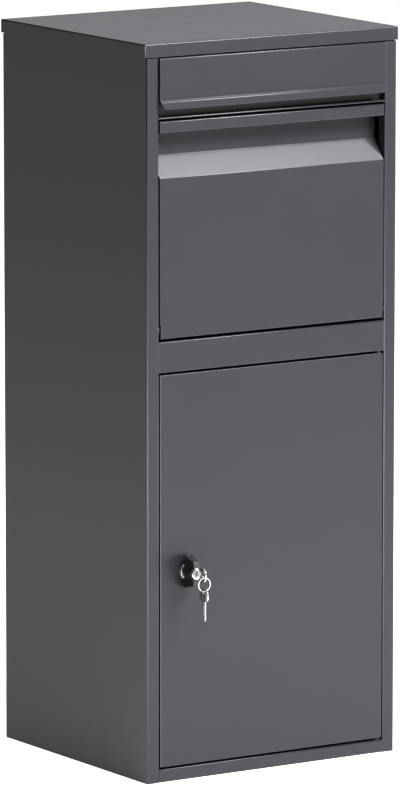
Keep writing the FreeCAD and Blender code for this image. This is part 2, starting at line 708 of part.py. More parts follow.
# ---- parcel hopper ------------------------------------------------------
def hopper_front():
    """Front of the hopper in one sheet, folded round the grip recess."""
    outline = [
        (FRONT + HOPPER_FLANGE, HOPPER_TOP),
        (FRONT, HOPPER_TOP),
        (FRONT, GRIP_TOP),
        (GRIP_BACK, GRIP_TOP),
        (GRIP_BACK, SLOPE_TOP),
        (FRONT, SLOPE_BOTTOM),
        (FRONT, HOPPER_BOTTOM),
        (FRONT + HOPPER_FLANGE, HOPPER_BOTTOM),
    ]
    front = folded_across(outline, -LEAF_HALF, LEAF_HALF)
    notch_top = HOPPER_BOTTOM + NOTCH_HEIGHT
    flanges = [
        box(
            (x, x + SHEET),
            (FRONT + SHEET / 2, FRONT + HOPPER_SIDE_FLANGE),
            (notch_top, SLOPE_BOTTOM - 2 * SHEET),
        )
        for x in (-LEAF_HALF, LEAF_HALF - SHEET)
    ]
    front = fused([front] + flanges)
    for sign in (-1, 1):
        notch = box(
            between(sign * (LEAF_HALF - NOTCH_WIDTH), sign * (LEAF_HALF + CUT_PAST)),
            (FRONT - CUT_PAST, FRONT + HOPPER_SIDE_FLANGE),
            (HOPPER_BOTTOM - CUT_PAST, notch_top),
        )
        front = front.cut(notch)
    return front


def floor_line():
    """Where the hopper's floor starts, bends and ends, on its upper face."""
    slope = math.radians(HOPPER_FLOOR_SLOPE)
    top = HOPPER_BOTTOM + 2 * SHEET
    bend = (FRONT + HOPPER_FLANGE + HOPPER_FLOOR_LEAD, top)
    end = (
        bend[0] + HOPPER_FLOOR_LENGTH * math.cos(slope),
        bend[1] - HOPPER_FLOOR_LENGTH * math.sin(slope),
    )
    return (FRONT + SHEET + 2 * BEND_INNER, top), bend, end


def hopper_floor():
    """Plate that the parcel lies on while the hopper is open."""
    start, bend, end = floor_line()
    hem = (end[0], end[1] - HOPPER_FLOOR_HEM)
    return folded_across([start, bend, end, hem], -CHEEK_INNER, CHEEK_INNER, side=-1)


def hopper_cheek():
    """Right side plate of the hopper, cut to a sector about the pivot."""
    pivot_y, pivot_z = HOPPER_PIVOT
    start, bend, end = floor_line()
    behind_front = FRONT + SHEET + CHEEK_FIT_GAP
    behind_grip = GRIP_BACK + SHEET + CHEEK_FIT_GAP
    first = math.asin((behind_grip - pivot_y) / CHEEK_RADIUS)
    last = math.radians(CHEEK_END_ANGLE)

    def on_arc(angle):
        return Vector(
            CHEEK_INNER,
            pivot_y + CHEEK_RADIUS * math.sin(angle),
            pivot_z + CHEEK_RADIUS * math.cos(angle),
        )

    arc = Part.Arc(on_arc(first), on_arc((first + last) / 2), on_arc(last)).toShape()
    corners = [
        (end[0], end[1] - SHEET),
        (bend[0], bend[1] - SHEET),
        (start[0], start[1] - SHEET),
        (behind_front, start[1]),
        (behind_front, SLOPE_BOTTOM - 2 * SHEET),
        (behind_grip, SLOPE_TOP - SHEET),
    ]
    spots = [Vector(CHEEK_INNER, y, z) for y, z in corners]
    spots = [on_arc(last)] + spots + [on_arc(first)]
    lines = [Part.LineSegment(one, other).toShape() for one, other in zip(spots, spots[1:])]
    wire = Part.Wire(Part.__sortEdges__([arc] + lines))
    cheek = Part.Face(wire).extrude(Vector(SHEET, 0, 0))
    for radius, place in ((HOPPER_PIN_RADIUS, HOPPER_PIVOT), (STOP_PIN_RADIUS, STOP_SHUT)):
        cheek = cheek.cut(rod_x(radius, CHEEK_INNER - CUT_PAST, CHEEK_OUTER + CUT_PAST, *place))
    return cheek


def headed_pin(radius, head, x1, place):
    """A pin along X whose head lies against the cheek's inner side."""
    shank = rod_x(radius, CHEEK_INNER - SHEET, x1, *place)
    cap = rod_x(radius + head, CHEEK_INNER - 2 * SHEET, CHEEK_INNER, *place)
    return fused([shank, cap])


def hopper_pins():
    """Shoulder pins riveted into the cheeks, one at each side."""
    end = STILE_INNER + 3 * SHEET
    return both_sides(headed_pin(HOPPER_PIN_RADIUS, HOPPER_PIN_HEAD, end, HOPPER_PIVOT))


def hopper_bushes():
    """Flanged nylon bushes pressed into the stile returns."""
    inner_face = CHEEK_OUTER + BUSH_FLANGE_GAP
    barrel = rod_x(BUSH_OUTER, inner_face, STILE_INNER + SHEET + BUSH_END, *HOPPER_PIVOT)
    flange = rod_x(BUSH_OUTER + BUSH_FLANGE, inner_face, STILE_INNER, *HOPPER_PIVOT)
    bore = rod_x(BUSH_BORE, inner_face - CUT_PAST, STILE_INNER + 3 * SHEET, *HOPPER_PIVOT)
    return both_sides(fused([barrel, flange]).cut(bore))


def stop_pins():
    """Pins on the cheeks that carry the rubber stop buffers."""
    return both_sides(headed_pin(STOP_PIN_RADIUS, STOP_PIN_HEAD, STOP_PIN_END, STOP_SHUT))


def stop_buffers():
    """Rubber sleeves that meet the stile's lip when the hopper is fully open."""
    sleeve = rod_x(STOP_BUFFER_RADIUS, CHEEK_OUTER, STOP_PIN_END, *STOP_SHUT)
    bore = rod_x(STOP_PIN_RADIUS, CHEEK_OUTER - CUT_PAST, STOP_PIN_END + CUT_PAST, *STOP_SHUT)
    return both_sides(sleeve.cut(bore))


def rest_brackets():
    """Angles on the side walls that the stop buffers rest on when shut."""
    top = STOP_SHUT[1] - STOP_BUFFER_RADIUS - TOUCH_CLEARANCE
    outline = [
        (CHEEK_OUTER + BRACKET_GAP, top),
        (WALL_INNER, top),
        (WALL_INNER, top - WELD_LAP),
    ]
    start_y = STOP_SHUT[0] - WELD_LAP

    def place(point):
        return Vector(point.x, start_y, point.y)

    angle = folded(outline, place, Vector(0, 2 * WELD_LAP, 0), side=-1)
    return both_sides(angle)


# ---- door ---------------------------------------------------------------
def door_panel():
    """Door leaf, a pan with four returns and rounded edges."""
    pan = box((-LEAF_HALF, LEAF_HALF), (FRONT, FRONT + DOOR_DEPTH), (DOOR_BOTTOM, DOOR_TOP))
    pan = rounded(pan, DOOR_CORNER_ROUND, lambda e: runs_along(e, Vector(0, 1, 0)))
    pan = rounded(pan, DOOR_EDGE_ROUND, lambda e: e.BoundBox.YMax < FRONT + TINY)
    inside = box(
        (-LEAF_HALF + DOOR_SHEET, LEAF_HALF - DOOR_SHEET),
        (DOOR_INNER_FACE, FRONT + DOOR_DEPTH + CUT_PAST),
        (DOOR_BOTTOM + DOOR_SHEET, DOOR_TOP - DOOR_SHEET),
    )
    lock_hole = lock_rod(SLEEVE_RADIUS, FRONT - CUT_PAST, DOOR_INNER_FACE + CUT_PAST)
    pin_hole = rod_z(DOOR_PIN_RADIUS, DOOR_BOTTOM - CUT_PAST, DOOR_TOP + CUT_PAST, *DOOR_HINGE)
    return pan.cut(inside).cut(lock_hole).cut(pin_hole)


def door_stiffener():
    """Hat section welded upright behind the middle of the door."""
    back = DOOR_INNER_FACE + STIFFENER_DEPTH
    outline = [
        (-STIFFENER_HALF - WELD_LAP, DOOR_INNER_FACE),
        (-STIFFENER_HALF, DOOR_INNER_FACE),
        (-STIFFENER_HALF + STIFFENER_TAPER, back),
        (STIFFENER_HALF - STIFFENER_TAPER, back),
        (STIFFENER_HALF, DOOR_INNER_FACE),
        (STIFFENER_HALF + WELD_LAP, DOOR_INNER_FACE),
    ]
    z0 = DOOR_BOTTOM + STIFFENER_END_GAP
    z1 = DOOR_TOP - STIFFENER_END_GAP
    return folded_upright(outline, z0, z1)


def door_pins():
    """Hinge pins with collars, welded into the door's top and bottom returns."""
    thickness = 2 * SHEET
    low_seat = DOOR_BOTTOM + DOOR_SHEET
    high_seat = DOOR_TOP - DOOR_SHEET
    low = fused([
        rod_z(DOOR_PIN_RADIUS, DOOR_BOTTOM - DOOR_PIN_REACH, low_seat + thickness, *DOOR_HINGE),
        rod_z(COLLAR_RADIUS, low_seat, low_seat + thickness, *DOOR_HINGE),
    ])
    high = fused([
        rod_z(DOOR_PIN_RADIUS, high_seat - thickness, DOOR_TOP + DOOR_PIN_REACH, *DOOR_HINGE),
        rod_z(COLLAR_RADIUS, high_seat - thickness, high_seat, *DOOR_HINGE),
    ])
    return Part.makeCompound([low, high])


def door_washers():
    """Nylon washers between the door and the rails at each hinge pin."""
    def washer(z0, z1):
        bore = rod_z(
            DOOR_PIN_RADIUS + RUNNING_CLEARANCE,
            z0 - CUT_PAST,
            z1 + CUT_PAST,
            *DOOR_HINGE,
        )
        return rod_z(DOOR_PIN_RADIUS + WASHER_RIM, z0, z1, *DOOR_HINGE).cut(bore)

    low = washer(PLINTH_HEIGHT, DOOR_BOTTOM - TOUCH_CLEARANCE)
    high = washer(DOOR_TOP + TOUCH_CLEARANCE, MID_RAIL_BOTTOM)
    return Part.makeCompound([low, high])


# ---- lock ---------------------------------------------------------------
def lock_rod(radius, y0, y1):
    """A round bar on the lock's axis."""
    return rod_y(radius, y0, y1, LOCK_X, LOCK_Z)


def lock_housing():
    """Round rosette on the door's face with the threaded sleeve behind it."""
    rosette = lock_rod(ROSETTE_RADIUS, ROSETTE_FACE, FRONT)
    rosette = rounded(rosette, ROSETTE_ROUND, lambda e: e.BoundBox.YMax < FRONT - TINY)
    housing = fused([rosette, lock_rod(SLEEVE_RADIUS, FRONT, SLEEVE_END)])
    bore = SPINDLE_RADIUS + RUNNING_CLEARANCE
    return housing.cut(lock_rod(bore, ROSETTE_FACE - CUT_PAST, SLEEVE_END + CUT_PAST))


def lock_nut():
    """Hexagon nut that clamps the housing to the door."""
    corner = (SLEEVE_RADIUS + LOCK_NUT_WALL) / math.cos(math.radians(30))
    outline = [
        (
            LOCK_X + corner * math.cos(math.radians(60 * side)),
            LOCK_Z + corner * math.sin(math.radians(60 * side)),
        )
        for side in range(6)
    ]
    rear = DOOR_INNER_FACE + LOCK_NUT_THICKNESS
    nut = plate_xz(outline, DOOR_INNER_FACE, rear)
    return nut.cut(lock_rod(SLEEVE_RADIUS, DOOR_INNER_FACE - CUT_PAST, rear + CUT_PAST))


def turn_knob():
    """Wing knob with a round hub and the spindle that drives the cam."""
    half_base = KNOB_HEIGHT_BASE / 2
    half_front = KNOB_HEIGHT_FRONT / 2
    wing = plate_yz(
        [
            (KNOB_BACK, LOCK_Z - half_base),
            (KNOB_BACK, LOCK_Z + half_base),
            (KNOB_FRONT, LOCK_Z + half_front),
            (KNOB_FRONT, LOCK_Z - half_front),
        ],
        LOCK_X - KNOB_WIDTH / 2,
        LOCK_X + KNOB_WIDTH / 2,
    )
    wing = rounded(wing, KNOB_ROUND, lambda e: e.BoundBox.YMin < KNOB_BACK - TINY)
    hub = lock_rod(PLUG_RADIUS + KNOB_HUB_WALL, KNOB_FRONT, KNOB_BACK)
    spindle = lock_rod(SPINDLE_RADIUS, KNOB_BACK - CUT_PAST, CAM_FRONT)
    knob = fused([wing, hub, spindle])
    bore = PLUG_RADIUS + RUNNING_CLEARANCE
    knob = knob.cut(lock_rod(bore, KNOB_FRONT - CUT_PAST, PLUG_REAR + PLUG_SEAT_GAP))
    room = (KEYWAY_HEIGHT + KEYWAY_CLEARANCE) / 2
    return knob.cut(lock_rod(room, PLUG_REAR, KNOB_BACK + KEYWAY_ROOM))


def keyway(y0, y1):
    """The slot that the key's blade goes into."""
    return box(
        (LOCK_X - KEYWAY_WIDTH / 2, LOCK_X + KEYWAY_WIDTH / 2),
        (y0, y1),
        (LOCK_Z - KEYWAY_HEIGHT / 2, LOCK_Z + KEYWAY_HEIGHT / 2),
    )


def lock_plug():
    """Nickel plug that the key turns, with its keyway."""
    plug = lock_rod(PLUG_RADIUS, PLUG_FACE, PLUG_REAR)
    plug = rounded(plug, PLUG_ROUND, lambda e: e.BoundBox.YMax < PLUG_FACE + TINY)
    return plug.cut(keyway(PLUG_FACE - CUT_PAST, PLUG_REAR + CUT_PAST))


def lock_cam():
    """Cam that swings behind the stile's lip; it hangs down when unlocked."""
    half = CAM_WIDTH / 2
    tip_height = LOCK_Z - CAM_LENGTH + half
    arm = box((LOCK_X - half, LOCK_X + half), (CAM_FRONT, CAM_REAR), (tip_height, LOCK_Z))
    tip = rod_y(half, CAM_FRONT, CAM_REAR, LOCK_X, tip_height)
    cam = fused([arm, tip, lock_rod(half, CAM_FRONT, CAM_REAR)])
    return cam.cut(lock_rod(CAM_SCREW_RADIUS, CAM_FRONT - CUT_PAST, CAM_REAR + CUT_PAST))


def cam_screw():
    """Screw that holds the cam against the spindle's end."""
    head_radius = CAM_SCREW_RADIUS + CAM_SCREW_HEAD
    head_top = CAM_REAR + CAM_SCREW_HEAD_HEIGHT
    screw = fused([
        lock_rod(CAM_SCREW_RADIUS, CAM_FRONT, CAM_REAR),
        lock_rod(head_radius, CAM_REAR, head_top),
    ])
    slot = box(
        (LOCK_X - head_radius, LOCK_X + head_radius),
        (head_top - CAM_SCREW_SLOT, head_top + CUT_PAST),
        (LOCK_Z - CAM_SCREW_SLOT / 2, LOCK_Z + CAM_SCREW_SLOT / 2),
    )
    return screw.cut(slot)


# ---- keys ---------------------------------------------------------------
def bow_outline():
    """Corners of a key's bow in (y, z), narrower at the shoulder than at its end."""
    lower = [
        (-along * KEY_BOW_LENGTH, -up * KEY_BOW_HEIGHT)
        for along, up in KEY_BOW_SHAPE
    ]
    upper = [(y, -z) for y, z in reversed(lower)]
    return lower + upper


def blade_outline():
    """Corners of a key's blade in (y, z), with the cuts along its upper edge."""
    half = KEY_BLADE_HEIGHT / 2
    lower = [
        (KEY_SHOULDER, -half),
        (KEY_BLADE_LENGTH, -half),
        (KEY_BLADE_LENGTH + KEY_BLADE_TIP, -half + KEY_BLADE_TIP),
        (KEY_BLADE_LENGTH, half - KEY_BLADE_TIP),
    ]
    cuts = [(along, half - depth) for along, depth in KEY_STEPS]
    return lower + cuts + [(KEY_SHOULDER, half)]


def flat_key(hole_up):
    """A key whose shoulder is at the origin; its bow is at -Y, its blade at +Y.

    `hole_up` is how far the bow's hole lies above the blade's middle.
    """
    half = KEY_THICKNESS / 2
    bow = plate_yz(bow_outline(), -half, half)
    bow = rounded(bow, KEY_BOW_ROUND, lambda e: runs_along(e, Vector(1, 0, 0)))
    neck = box(
        (-half, half),
        (-CUT_PAST, KEY_SHOULDER + CUT_PAST),
        (-KEY_BLADE_HEIGHT / 2, KEY_BLADE_HEIGHT / 2),
    )
    key = fused([bow, neck, plate_yz(blade_outline(), -half, half)])
    hole = rod_x(
        KEY_HOLE_RADIUS,
        -KEY_THICKNESS,
        KEY_THICKNESS,
        -KEY_HOLE_BACK,
        hole_up,
    )
    return key.cut(hole)


def fitted_key():
    """The key in the lock, with its bow upright and the ring's hole low."""
    key = flat_key(-KEY_HOLE_DROP)
    key.translate(Vector(LOCK_X, BOW_REAR, LOCK_Z))
    return key


def key_ring():
    """Ring through the bow's hole, parallel to the door."""
    return Part.makeTorus(
        RING_RADIUS,
        RING_WIRE_RADIUS,
        Vector(LOCK_X, KEY_HOLE_Y, RING_CENTRE_Z),
        Vector(0, 1, 0),
    )


def spare_key():
    """Second key, hanging blade down from the ring."""
    key = flat_key(0)
    key.translate(Vector(0, KEY_HOLE_BACK, 0))
    key.rotate(Vector(0, 0, 0), Vector(1, 0, 0), -90)
    key.translate(Vector(LOCK_X, KEY_HOLE_Y, SPARE_HOLE_Z))
    return key


# ---- model --------------------------------------------------------------
def model():
    """Every piece of the cabinet by its name."""
    left = side_panel()
    cheek = hopper_cheek()
    return {
        "side_panel_left": left,
        "side_panel_right": mirrored(left),
        "back_panel": back_panel(),
        "floor_pan": floor_pan(),
        "roof_cap": roof_cap(),
        "mid_rail": mid_rail(),
        "slot_header": slot_header(),
        "slot_sill": slot_sill(),
        "flap_pads": flap_pads(),
        "letter_chute": letter_chute(),
        "theft_baffle": theft_baffle(),
        "rest_brackets": rest_brackets(),
        "hopper_bushes": hopper_bushes(),
        "door_washers": door_washers(),
        "letter_flap": letter_flap(),
        "flap_rod": flap_rod(),
        "hopper_front": hopper_front(),
        "hopper_floor": hopper_floor(),
        "hopper_cheek_right": cheek,
        "hopper_cheek_left": mirrored(cheek),
        "hopper_pins": hopper_pins(),
        "stop_pins": stop_pins(),
        "stop_buffers": stop_buffers(),
        "door_panel": door_panel(),
        "door_stiffener": door_stiffener(),
        "door_pins": door_pins(),
        "lock_housing": lock_housing(),
        "lock_nut": lock_nut(),
        "turn_knob": turn_knob(),
        "lock_cam": lock_cam(),
        "cam_screw": cam_screw(),
        "lock_plug": lock_plug(),
        "key": fitted_key(),
        "key_ring": key_ring(),
        "spare_key": spare_key(),
    }


os.makedirs("parts", exist_ok=True)
for name, shape in model().items():
    if not shape.isValid():
        print("not valid:", name)
    shape.exportStep(os.path.join("parts", name + ".step"))
    bounds = shape.BoundBox
    print(
        f"{name:20s} solids {len(shape.Solids)} volume {shape.Volume:10.1f}"
        f"  x {bounds.XMin:7.1f} {bounds.XMax:7.1f}"
        f"  y {bounds.YMin:7.1f} {bounds.YMax:7.1f}"
        f"  z {bounds.ZMin:7.1f} {bounds.ZMax:7.1f}"
    )
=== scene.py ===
"""Looks of a steel parcel and letter drop box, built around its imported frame."""

import logging
import math
from collections.abc import Mapping, Sequence
from dataclasses import dataclass, field
from enum import Enum

import bmesh
import bpy
from mathutils import Matrix, Vector


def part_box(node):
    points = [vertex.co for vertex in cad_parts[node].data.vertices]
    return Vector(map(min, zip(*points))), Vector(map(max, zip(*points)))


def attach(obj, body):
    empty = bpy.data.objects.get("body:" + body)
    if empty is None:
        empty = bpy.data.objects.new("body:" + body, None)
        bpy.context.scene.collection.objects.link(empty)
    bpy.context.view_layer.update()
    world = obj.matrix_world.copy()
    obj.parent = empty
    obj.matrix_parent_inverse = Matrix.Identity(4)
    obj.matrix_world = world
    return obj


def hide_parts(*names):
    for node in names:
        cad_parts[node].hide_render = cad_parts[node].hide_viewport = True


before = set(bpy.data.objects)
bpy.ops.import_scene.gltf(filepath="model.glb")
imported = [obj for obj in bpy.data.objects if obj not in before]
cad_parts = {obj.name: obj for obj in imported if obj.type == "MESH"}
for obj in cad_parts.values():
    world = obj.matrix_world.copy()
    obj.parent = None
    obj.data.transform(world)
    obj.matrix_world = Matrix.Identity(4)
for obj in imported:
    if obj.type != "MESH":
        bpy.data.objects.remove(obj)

LOG = logging.getLogger("drop_box")
MM = 0.001

Colour = tuple[float, float, float]
Point = tuple[float, float, float]
Pair = tuple[float, float]

# Turns of a flat outline (u, v) and its normal: u to the right and v up when
# facing the door, and u to the rear and v up on a plate that stands fore and aft.
FACING_FRONT = Matrix(((1, 0, 0, 0), (0, 0, -1, 0), (0, 1, 0, 0), (0, 0, 0, 1)))
FACING_SIDE = Matrix(((0, 0, 1, 0), (1, 0, 0, 0), (0, 1, 0, 0), (0, 0, 0, 1)))


# ---- shader wiring ------------------------------------------------------
class Signal:
    """A value that leaves a node; arithmetic on it adds Math nodes."""

    def __init__(self, tree: bpy.types.NodeTree, socket: bpy.types.NodeSocket) -> None:
        """Wrap one output socket of a node tree."""
        self.tree = tree
        self.socket = socket

    def _maths(self, operation: str, *values: "Signal | float") -> "Signal":
        """Add one Math node.

        Args:
            operation: the Math node's operation.
            values: what goes into its sockets, in order.

        Returns:
            The node's result.
        """
        node = self.tree.nodes.new("ShaderNodeMath")
        node.operation = operation
        for socket, value in zip(node.inputs, values):
            if isinstance(value, Signal):
                self.tree.links.new(value.socket, socket)
            else:
                socket.default_value = value
        return Signal(self.tree, node.outputs[0])

    def __add__(self, other: "Signal | float") -> "Signal":
        """Sum."""
        return self._maths("ADD", self, other)

    def __radd__(self, other: "Signal | float") -> "Signal":
        """Sum, written the other way round."""
        return self._maths("ADD", other, self)

    def __sub__(self, other: "Signal | float") -> "Signal":
        """Difference."""
        return self._maths("SUBTRACT", self, other)

    def __rsub__(self, other: "Signal | float") -> "Signal":
        """Difference, written the other way round."""
        return self._maths("SUBTRACT", other, self)

    def __mul__(self, other: "Signal | float") -> "Signal":
        """Product."""
        return self._maths("MULTIPLY", self, other)

    def larger(self, other: "Signal | float") -> "Signal":
        """The larger of two values."""
        return self._maths("MAXIMUM", self, other)

    def clamped(self, low: float = 0.0, high: float = 1.0) -> "Signal":
        """Keep the value between two limits."""
        return self._maths("MINIMUM", self._maths("MAXIMUM", self, low), high)


class Recipe:
    """The node tree of one material."""

    def __init__(self, name: str) -> None:
        """Start an empty material."""
        self.material = bpy.data.materials.new(name)
        self.material.use_nodes = True
        self.tree = self.material.node_tree
        self.tree.nodes.clear()

    def add(
        self,
        kind: str,
        settings: Mapping[str, object] | None = None,
        inputs: Mapping[str | int, object] | None = None,
        output: str | int = 0,
    ) -> Signal:
        """Add one node.

        Args:
            kind: the node's type name.
            settings: its properties, set first; "stops" fills a colour ramp.
            inputs: values or signals by socket name or number.
            output: the socket that the result is read from.

        Returns:
            The chosen output.
        """
        node = self.tree.nodes.new(kind)
        for key, value in (settings or {}).items():
            if key == "stops":
                self._fill_ramp(node.color_ramp, value)
            else:
                setattr(node, key, value)
        for key, value in (inputs or {}).items():
            if isinstance(value, Signal):
                self.tree.links.new(value.socket, node.inputs[key])
            else:
                node.inputs[key].default_value = value
        return Signal(self.tree, node.outputs[output])

    @staticmethod
    def _fill_ramp(ramp: bpy.types.ColorRamp, stops: Sequence[tuple[float, Colour]]) -> None:
        """Give a colour ramp its stops, first to last."""
        for index, (place, colour) in enumerate(stops):
            stop = ramp.elements[index] if index < 2 else ramp.elements.new(place)
            stop.position = place
            stop.color = (*colour, 1.0)

    def place(self) -> Signal:
        """Where a point is on the piece, in metres."""
        return self.add("ShaderNodeTexCoord", output="Object")

    def noise(self, size: float, detail: float = 2.0, stretch: Point = (1, 1, 1)) -> Signal:
        """Cloudy variation from 0 to 1.

        Args:
            size: the width of one cloud, in metres.
            detail: how many finer octaves it has.
            stretch: how much the pattern is squeezed along each axis.

        Returns:
            The noise's value.
        """
        spot = self.add(
            "ShaderNodeMapping",
            {"vector_type": "POINT"},
            {"Vector": self.place(), "Scale": stretch},
        )
        return self.add(
            "ShaderNodeTexNoise",
            {"noise_dimensions": "3D"},
            {"Vector": spot, "Scale": 1.0 / size, "Detail": detail, "Roughness": 0.55},
        )

    def blend(self, share: "Signal | float", first: object, second: object) -> Signal:
        """Mix two colours.

        Args:
            share: how much of the second colour there is.
            first: a colour or a signal.
            second: a colour or a signal.

        Returns:
            The mixed colour.
        """
        node = self.tree.nodes.new("ShaderNodeMix")
        node.data_type = "RGBA"
        sockets = {"Factor": share, 6: first, 7: second}
        for key, value in sockets.items():
            if isinstance(value, Signal):
                self.tree.links.new(value.socket, node.inputs[key])
            elif isinstance(value, tuple):
                node.inputs[key].default_value = (*value, 1.0)
            else:
                node.inputs[key].default_value = value
        return Signal(self.tree, node.outputs[2])

    def edges(self, radius: float) -> Signal:
        """How near a point is to a sharp edge, 0 on the flat and 1 on the edge."""
        soft = self.add("ShaderNodeBevel", {"samples": 4}, {"Radius": radius})
        plain = self.add("ShaderNodeNewGeometry", output="Normal")
        match = self.add(
            "ShaderNodeVectorMath",
            {"operation": "DOT_PRODUCT"},
            {0: soft, 1: plain},
            output="Value",
        )
        return ((1.0 - match) * 5.0).clamped()

    def upright_fold_highlight(self) -> Signal:
        """Painted highlight on upright folds: how far a fold's surface is turned from the flats
        that it joins, left out on level folds.
        """
        normal = self.add("ShaderNodeTexCoord", output="Normal")
        size = self.add("ShaderNodeVectorMath", {"operation": "ABSOLUTE"}, {0: normal})
        across, fore, upward = (
            self.add("ShaderNodeSeparateXYZ", inputs={"Vector": size}, output=axis)
            for axis in "XYZ"
        )
        # Level folds get no painted highlight.
        upright = (1.0 - upward * 4.0).clamped()
        return ((1.0 - across.larger(fore)) * 6.0).clamped() * upright

    def bump(self, height: Signal, depth: float, strength: float = 1.0) -> Signal:
        """Turn a height into a bumped normal.

        Args:
            height: the relief, from 0 to 1.
            depth: how deep the relief is, in metres.
            strength: how much of it shows.

        Returns:
            The normal.
        """
        return self.add(
            "ShaderNodeBump",
            inputs={"Height": height, "Distance": depth, "Strength": strength},
        )

    def finish(self, **inputs: object) -> bpy.types.Material:
        """Close the material with a Principled shader.

        Args:
            inputs: the shader's sockets, with underscores for spaces.

        Returns:
            The finished material.
        """
        named = {key.replace("_", " "): value for key, value in inputs.items()}
        for key, value in named.items():
            if isinstance(value, tuple) and len(value) == 3:
                named[key] = (*value, 1.0)
        shader = self.add("ShaderNodeBsdfPrincipled", inputs=named)
        exit_node = self.tree.nodes.new("ShaderNodeOutputMaterial")
        self.tree.links.new(shader.socket, exit_node.inputs["Surface"])
        return self.material


# ---- finishes -----------------------------------------------------------
def tinted(colour: Colour, gain: float) -> Colour:
    """A colour made lighter or darker, never past white."""
    return tuple(min(1.0, gain * part) for part in colour)


@dataclass(frozen=True)
class PowderCoat:
    """Satin powder coat baked on sheet steel."""

    name: str
    colour: Colour = (0.0375, 0.0389, 0.0450)
    # Light steel grey for bare steel on rubbed edges, also used as the painted highlight on edges
    # and upright folds.
    bare_steel_and_highlight: Colour = (0.290, 0.295, 0.315)
    roughness: float = 0.32
    peel_size: float = 1.6 * MM
    peel_depth: float = 0.010 * MM
    peel_share: float = 0.75
    grain_size: float = 0.35 * MM
    grain_share: float = 0.35
    grain_tint: float = 1.10
    cloud_size: float = 0.11
    cloud_tint: float = 0.045
    cloud_contrast: float = 1.6
    # Patches that vary both the edge wear and the painted edge highlight.
    patch_size: float = 9 * MM
    patch_share: float = 0.6
    plain_wear_and_highlight: float = 0.55
    edge_radius: float = 1.3 * MM
    edge_share: float = 0.35
    edge_wear_and_highlight: float = 0.85
    # Whether upright folds get a painted highlight.
    folds_highlighted: bool = True

    def make(self) -> bpy.types.Material:
        """Build the coat: soft clouds, orange peel, fine grain, rubbed edges mixed with a painted
        highlight, and a painted highlight on upright folds.
        """
        recipe = Recipe(self.name)
        clouds = recipe.noise(self.cloud_size, detail=4.0)
        grain = recipe.noise(self.grain_size, detail=2.0)
        peel = recipe.noise(self.peel_size, detail=3.0)
        wear_and_highlight_patches = recipe.noise(self.patch_size, detail=5.0)
        coat = recipe.blend(
            (clouds - 0.5) * self.cloud_contrast + 0.5,
            tinted(self.colour, 1.0 - self.cloud_tint),
            tinted(self.colour, 1.0 + self.cloud_tint),
        )
        speck = (grain * self.grain_share).clamped()
        coat = recipe.blend(speck, coat, tinted(self.colour, self.grain_tint))
        # Edges get rubbed-through wear mixed with a painted highlight; upright folds get a painted
        # highlight only.
        edge = recipe.edges(self.edge_radius) * self.edge_share
        if self.folds_highlighted:
            edge = edge.larger(recipe.upright_fold_highlight())
        wear_and_highlight = edge * (self.plain_wear_and_highlight + wear_and_highlight_patches * self.patch_share) * self.edge_wear_and_highlight
        colour = recipe.blend(wear_and_highlight.clamped(), coat, self.bare_steel_and_highlight)
        roughness = self.roughness + (clouds - 0.5) * 0.06 + (grain - 0.5) * 0.08 - wear_and_highlight * 0.08
        relief = peel * self.peel_share + grain * (1.0 - self.peel_share)
        return recipe.finish(
            Base_Color=colour,
            Roughness=roughness.clamped(0.05, 1.0),
            Normal=recipe.bump(relief, self.peel_depth),
            Specular_IOR_Level=0.5,
        )


@dataclass(frozen=True)
class Plate:
    """Plated or polished metal."""

    name: str
    colour: Colour
    dull: Colour
    roughness: float
    brush: Point = (1.0, 1.0, 1.0)
    brush_size: float = 0.8 * MM
    brush_depth: float = 0.002 * MM
    tarnish_size: float = 6 * MM
    wear: float = 0.3
    edge_radius: float = 0.25 * MM
    edge_share: float = 0.6
    edge_tint: float = 1.12

    def make(self) -> bpy.types.Material:
        """Build the metal: tarnish clouds, brush lines and polished edges."""
        recipe = Recipe(self.name)
        tarnish = recipe.noise(self.tarnish_size, detail=4.0)
        lines = recipe.noise(self.brush_size, detail=3.0, stretch=self.brush)
        edge = recipe.edges(self.edge_radius)
        share = ((tarnish - 0.42) * 1.8).clamped() * self.wear
        colour = recipe.blend(share, self.colour, self.dull)
        polished = tinted(self.colour, self.edge_tint)
        colour = recipe.blend(edge * self.edge_share, colour, polished)
        roughness = self.roughness + (tarnish - 0.5) * 0.10 + (lines - 0.5) * 0.08 - edge * 0.05
        return recipe.finish(
            Base_Color=colour,
            Metallic=1.0,
            Roughness=roughness.clamped(0.04, 1.0),
            Normal=recipe.bump(lines, self.brush_depth),
        )


@dataclass(frozen=True)
class Moulded:
    """Moulded plastic or rubber."""

    name: str
    colour: Colour
    roughness: float
    grain_size: float = 0.30 * MM
    grain_depth: float = 0.015 * MM
    specular: float = 0.5
    mark_size: float = 5 * MM
    mark_share: float = 0.25
    edge_radius: float = 0.4 * MM
    edge_share: float = 0.5

    def make(self) -> bpy.types.Material:
        """Build the plastic: spark-eroded grain, handling marks and pale edges."""
        recipe = Recipe(self.name)
        grain = recipe.noise(self.grain_size, detail=2.0)
        marks = recipe.noise(self.mark_size, detail=4.0)
        edge = recipe.edges(self.edge_radius)
        pale = tuple(min(1.0, part * 1.6 + 0.01) for part in self.colour)
        colour = recipe.blend((marks * self.mark_share).clamped(), self.colour, pale)
        colour = recipe.blend((edge * self.edge_share).clamped(), colour, pale)
        roughness = self.roughness + (marks - 0.5) * 0.16 + (grain - 0.5) * 0.10
        return recipe.finish(
            Base_Color=colour,
            Roughness=roughness.clamped(0.05, 1.0),
            Normal=recipe.bump(grain, self.grain_depth),
            Specular_IOR_Level=self.specular,
        )


class Slot(Enum):
    """The record's material slots."""

    CABINET = "cabinet_powder_coat"
    DOOR = "door_powder_coat"
    HOPPER = "hopper_powder_coat"
    FLAP = "flap_powder_coat"
    ZINC = "zinc_plated"
    NICKEL = "nickel"
    SATIN = "satin_nickel"
    BLACK = "black_plastic"
    RUBBER = "rubber"
    NYLON = "nylon"


